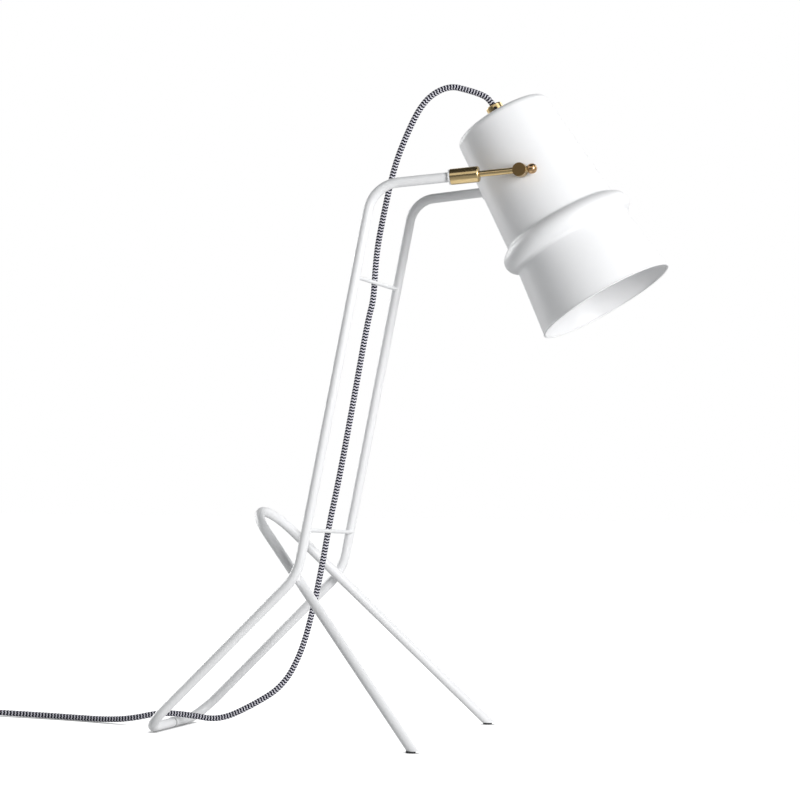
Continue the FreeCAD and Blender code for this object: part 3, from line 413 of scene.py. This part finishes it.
def braided_tube(name, path):
    """A tube along the path, with the chevrons' relief and what the braid's material reads.

    The attribute along counts the braid's periods from the grip, and around is the
    direction out of the cord, in its cross section.
    """
    rings = even_steps(path, BRAID_PERIOD / RINGS_PER_PERIOD)
    places = [place for place, _ in rings]
    verts, faces, along, around = [], [], [], []
    normal = Vector((0, 1, 0))
    periods, reached = 0.0, 0.0
    for index, (place, distance) in enumerate(rings):
        periods += (distance - reached) / braid_period(place)
        reached = distance
        before = places[max(0, index - 1)]
        after = places[min(len(places) - 1, index + 1)]
        ahead = (after - before).normalized()
        normal = (normal - ahead * normal.dot(ahead)).normalized()
        side = ahead.cross(normal)
        for corner in range(SIDES):
            angle = 2 * math.pi * corner / SIDES
            zigzag = abs((corner * BRAID_PEAKS / SIDES + 0.5) % 1.0 - 0.5)
            phase = periods + 2 * BRAID_SWING * zigzag
            reach = CORD_DIAMETER / 2 + BRAID_RELIEF * (math.sin(2 * math.pi * phase) - 1)
            verts.append(place + (normal * math.cos(angle) + side * math.sin(angle)) * reach)
            along.append(periods)
            around.append((math.cos(angle), math.sin(angle), 0.0))
    for ring in range(len(rings) - 1):
        for corner in range(SIDES):
            following = (corner + 1) % SIDES
            low, high = ring * SIDES, (ring + 1) * SIDES
            faces.append((low + corner, low + following, high + following, high + corner))
    faces.append(tuple(reversed(range(SIDES))))
    faces.append(tuple(range(len(verts) - SIDES, len(verts))))
    mesh = bpy.data.meshes.new(name)
    mesh.from_pydata(verts, [], faces)
    mesh.attributes.new("along", "FLOAT", "POINT").data.foreach_set("value", along)
    flat = [number for triple in around for number in triple]
    mesh.attributes.new("around", "FLOAT_VECTOR", "POINT").data.foreach_set("vector", flat)
    for polygon in mesh.polygons:
        polygon.use_smooth = True
    mesh.materials.append(cord_braid)
    piece = bpy.data.objects.new(name, mesh)
    bpy.context.collection.objects.link(piece)
    return piece


route = FREE_ROUTE + coil_route() + TO_PLUG
cord_path = smooth_path("cord_line", route)
cord = braided_tube("cord", cord_path)
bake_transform(cord)
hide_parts("cord_upper", "cord_lower", "cord_to_coil", "cord_coil", "cord_to_plug")


# Camera, as worked out from the photograph: place, and turns in degrees with a small roll
CAMERA_PLACE = (0.7113, -2.4853, 0.2667)
CAMERA_TURNS = (91.6850, -0.4454, 16.2244)
CAMERA_LENS = 113.69                     # in millimetres, for a sensor of this width
SENSOR_WIDTH = 36.0

camera_data = bpy.data.cameras.new("camera")
camera_data.lens = CAMERA_LENS
camera_data.sensor_width = SENSOR_WIDTH
camera = bpy.data.objects.new("camera", camera_data)
camera.location = CAMERA_PLACE
camera.rotation_euler = tuple(math.radians(angle) for angle in CAMERA_TURNS)
bpy.context.collection.objects.link(camera)
bpy.context.scene.camera = camera


# Studio: directions from the lamp
UP = (0, 0, 1)
FRONT = (0.28, -0.96, 0.0)               # to the photographer
RIGHT = (0.96, 0.28, 0.0)
TOP_LAMP = (0.65, -0.33, 0.68)           # to a small lamp, high on the right, that metal shows

# What mirrors show of the studio: where each part fades out, as reaches in its direction
UNLIT = 0.06                             # how bright the dark parts of the studio are
BACK_WALL_EDGE = (0.0, 0.25)             # towards the front
SOFTBOX_FOOT = (0.10, 0.28)              # upwards
SOFTBOX_EDGE = (0.45, 0.75)              # towards the right
WALL_TOP = (0.56, 0.74)                  # upwards
TOP_LAMP_EDGE = (0.93, 0.98)             # towards that lamp
TOP_LAMP_GLOW = 2.2
WORLD_LIGHT = 0.22                       # what the world lights the lamp with

# The floor
FLOOR_LEVEL = -0.0002
FLOOR_HALF = 12.0
FLOOR_TONES = (0.63, 0.63, 0.63), (0.66, 0.66, 0.66)
FLOOR_GLOW = 0.90
TABLE_GLOW = 0.8                         # as mirrors show it, near the lamp
TABLE_EDGE = (0.22, 0.55)                # where it fades out in mirrors
PAINTED_SHADOW_REACH = 0.005                    # of the painted contact shadow under the feet and the cord
PAINTED_SHADOW_DEPTH = 2.0

# Studio lamps: name, place, size and watts
AIM = (0.05, 0, 0.40)
STUDIO_LAMPS = [
    ("key", (2.2, -1.6, 0.9), (0.9, 1.5), 62.0),
    ("back", (1.4, 1.6, 1.5), (1.2, 1.2), 10.0),
    ("rim", (-2.4, 1.15, 0.9), (1.3, 1.5), 36.0),
]


def slope(tree, links, value, span, at_start, at_end):
    """A smooth step from one number to another over a span of a socket's values."""
    node = tree.new("ShaderNodeMapRange")
    node.interpolation_type = "SMOOTHSTEP"
    for name, number in (("From Min", span[0]), ("From Max", span[1]), ("To Min", at_start),
                         ("To Max", at_end)):
        node.inputs[name].default_value = number
    links.new(value, node.inputs["Value"])
    return node.outputs["Result"]


def reach_in(tree, links, vector, direction):
    """How far a vector reaches in a direction."""
    node = tree.new("ShaderNodeVectorMath")
    node.operation = "DOT_PRODUCT"
    node.inputs[1].default_value = direction
    links.new(vector, node.inputs[0])
    return node.outputs["Value"]


def seen_directly(tree, links, in_mirrors):
    """1 for camera and glass rays, a given value for mirror rays, 0 for rays that light."""
    rays = tree.new("ShaderNodeLightPath")
    mirrored = math_node(tree, links, "MULTIPLY", rays.outputs["Is Glossy Ray"], in_mirrors)
    seen = math_node(tree, links, "MAXIMUM", rays.outputs["Is Camera Ray"],
                     rays.outputs["Is Transmission Ray"])
    return math_node(tree, links, "MAXIMUM", seen, mirrored)


def floor():
    """A pale floor that keeps the lamp's shadow."""
    material, tree, links, shader = new_material("floor")
    tone = noise(tree, links, scale=2.0, detail=2.0)
    links.new(mottle(tree, links, tone, *FLOOR_TONES), shader.inputs["Base Color"])
    shader.inputs["Roughness"].default_value = 0.9
    shader.inputs["Specular IOR Level"].default_value = 0.0
    shader.inputs["Emission Color"].default_value = (1, 1, 1, 1)
    # Painted contact shadow: the floor's glow darkened by ambient occlusion where the lamp and
    # cord touch it.
    contact = tree.new("ShaderNodeAmbientOcclusion")
    contact.inputs["Distance"].default_value = PAINTED_SHADOW_REACH
    painted_shadow = math_node(tree, links, "POWER", contact.outputs["AO"], PAINTED_SHADOW_DEPTH)
    place = tree.new("ShaderNodeTexCoord").outputs["Object"]
    away = tree.new("ShaderNodeVectorMath")
    away.operation = "LENGTH"
    links.new(place, away.inputs[0])
    table = slope(tree, links, away.outputs["Value"], TABLE_EDGE, TABLE_GLOW, UNLIT)
    glow = math_node(tree, links, "MULTIPLY", seen_directly(tree, links, table), painted_shadow)
    links.new(math_node(tree, links, "MULTIPLY", glow, FLOOR_GLOW),
              shader.inputs["Emission Strength"])
    mesh = bpy.data.meshes.new("floor")
    corners = [(-1, -1), (1, -1), (1, 1), (-1, 1)]
    mesh.from_pydata([(x * FLOOR_HALF, y * FLOOR_HALF, FLOOR_LEVEL) for x, y in corners],
                     [], [(0, 1, 2, 3)])
    mesh.materials.append(material)
    plane = bpy.data.objects.new("floor", mesh)
    bpy.context.collection.objects.link(plane)


def world():
    """White where it is seen, a studio in mirrors, and dimmer where it lights the lamp."""
    shell = bpy.data.worlds.new("studio")
    bpy.context.scene.world = shell
    shell.use_nodes = True
    tree, links = shell.node_tree.nodes, shell.node_tree.links
    background = tree["Background"]
    rays = tree.new("ShaderNodeLightPath")
    white, cool = (1.0, 1.0, 1.0), (0.95, 0.99, 1.0)
    links.new(ramp(tree, links, rays.outputs["Is Diffuse Ray"], [(0.0, white), (1.0, cool)]),
              background.inputs["Color"])
    heading = tree.new("ShaderNodeTexCoord").outputs["Generated"]
    up, front, right, to_top_lamp = (
        reach_in(tree, links, heading, way) for way in (UP, FRONT, RIGHT, TOP_LAMP))
    behind = slope(tree, links, front, BACK_WALL_EDGE, 1.0, 0.0)
    softbox = math_node(tree, links, "MULTIPLY", slope(tree, links, up, SOFTBOX_FOOT, 0.0, 1.0),
                        slope(tree, links, right, SOFTBOX_EDGE, 1.0, 0.0))
    wall = math_node(tree, links, "MULTIPLY", math_node(tree, links, "MAXIMUM", behind, softbox),
                     slope(tree, links, up, WALL_TOP, 1.0, 0.0))
    top_lamp = slope(tree, links, to_top_lamp, TOP_LAMP_EDGE, 0.0, TOP_LAMP_GLOW)
    room = math_node(tree, links, "MAXIMUM", spread(tree, links, wall, low=UNLIT, high=1.0),
                     top_lamp)
    seen = seen_directly(tree, links, room)
    diffuse = math_node(tree, links, "MULTIPLY", rays.outputs["Is Diffuse Ray"], WORLD_LIGHT)
    strength = math_node(tree, links, "ADD", seen, diffuse)
    links.new(strength, background.inputs["Strength"])


def studio_lamp(name, place, size, watts):
    """A soft rectangular lamp that points at the middle of the object."""
    light = bpy.data.lights.new(name, "AREA")
    light.shape = "RECTANGLE"
    light.size, light.size_y = size
    light.energy = watts
    holder = bpy.data.objects.new(name, light)
    holder.location = place
    aim = Vector(AIM) - Vector(place)
    holder.rotation_euler = aim.to_track_quat("-Z", "Y").to_euler()
    bpy.context.collection.objects.link(holder)


floor()
world()
for studio_light in STUDIO_LAMPS:
    studio_lamp(*studio_light)

scene = bpy.context.scene
scene.view_settings.view_transform = "Standard"
